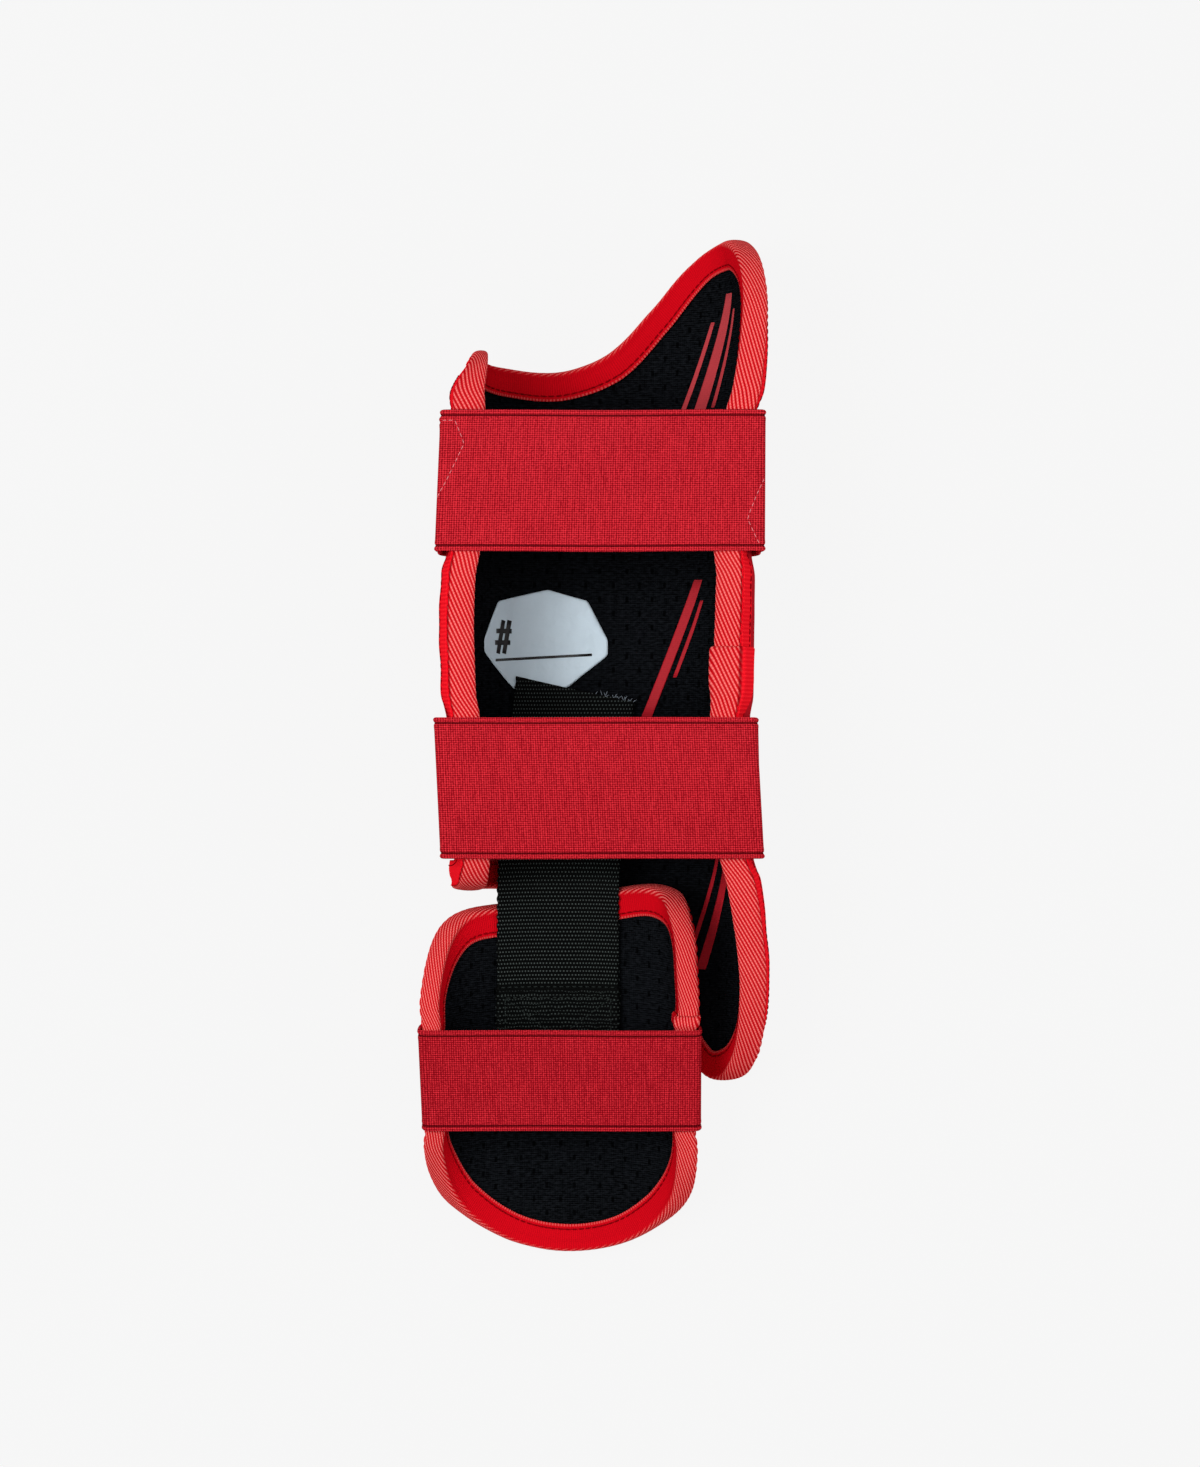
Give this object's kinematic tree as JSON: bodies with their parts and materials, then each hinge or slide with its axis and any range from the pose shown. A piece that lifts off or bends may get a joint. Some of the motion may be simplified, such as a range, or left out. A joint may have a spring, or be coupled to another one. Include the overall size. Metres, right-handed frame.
{
  "type": "batter's leg guard",
  "caption": "Padded shin guard with a bent, tape-edged panel, a smaller foot pad on a webbing strap, and wide elastic bands across the open back.",
  "frame": {"origin": "on the flat line of the raised front plate, in the middle of the guard's length", "axes": "+Y runs along the shin towards the knee, +Z towards the open back, -Z out of the front plate, +X to the side whose edge is longer"},
  "size_m": [0.1317, 0.3853, 0.0801],
  "materials": {
    "cover_cloth": "woven cloth over a moulded shell, matt",
    "lining_cloth": "perforated knit on foam, matt",
    "edge_tape": "ribbed twill tape, satin",
    "elastic": "woven elastic, matt",
    "hook_cloth": "hook tape, matt",
    "webbing": "ribbed webbing, satin",
    "label_film": "satin film"
  },
  "bodies": {
    "root": {"shin_cover": "cover_cloth", "foot_cover": "cover_cloth", "shin_lining": "lining_cloth", "foot_lining": "lining_cloth", "shin_binding": "edge_tape", "foot_binding": "edge_tape", "upper_strap": "elastic", "middle_strap": "elastic", "lower_strap": "elastic", "webbing": "webbing", "name_label": "label_film", "upper_hook_left": "hook_cloth", "upper_hook_right": "hook_cloth", "middle_hook_left": "hook_cloth", "middle_hook_right": "hook_cloth", "lower_hook_left": "hook_cloth", "lower_hook_right": "hook_cloth"}
  },
  "joints": []
}
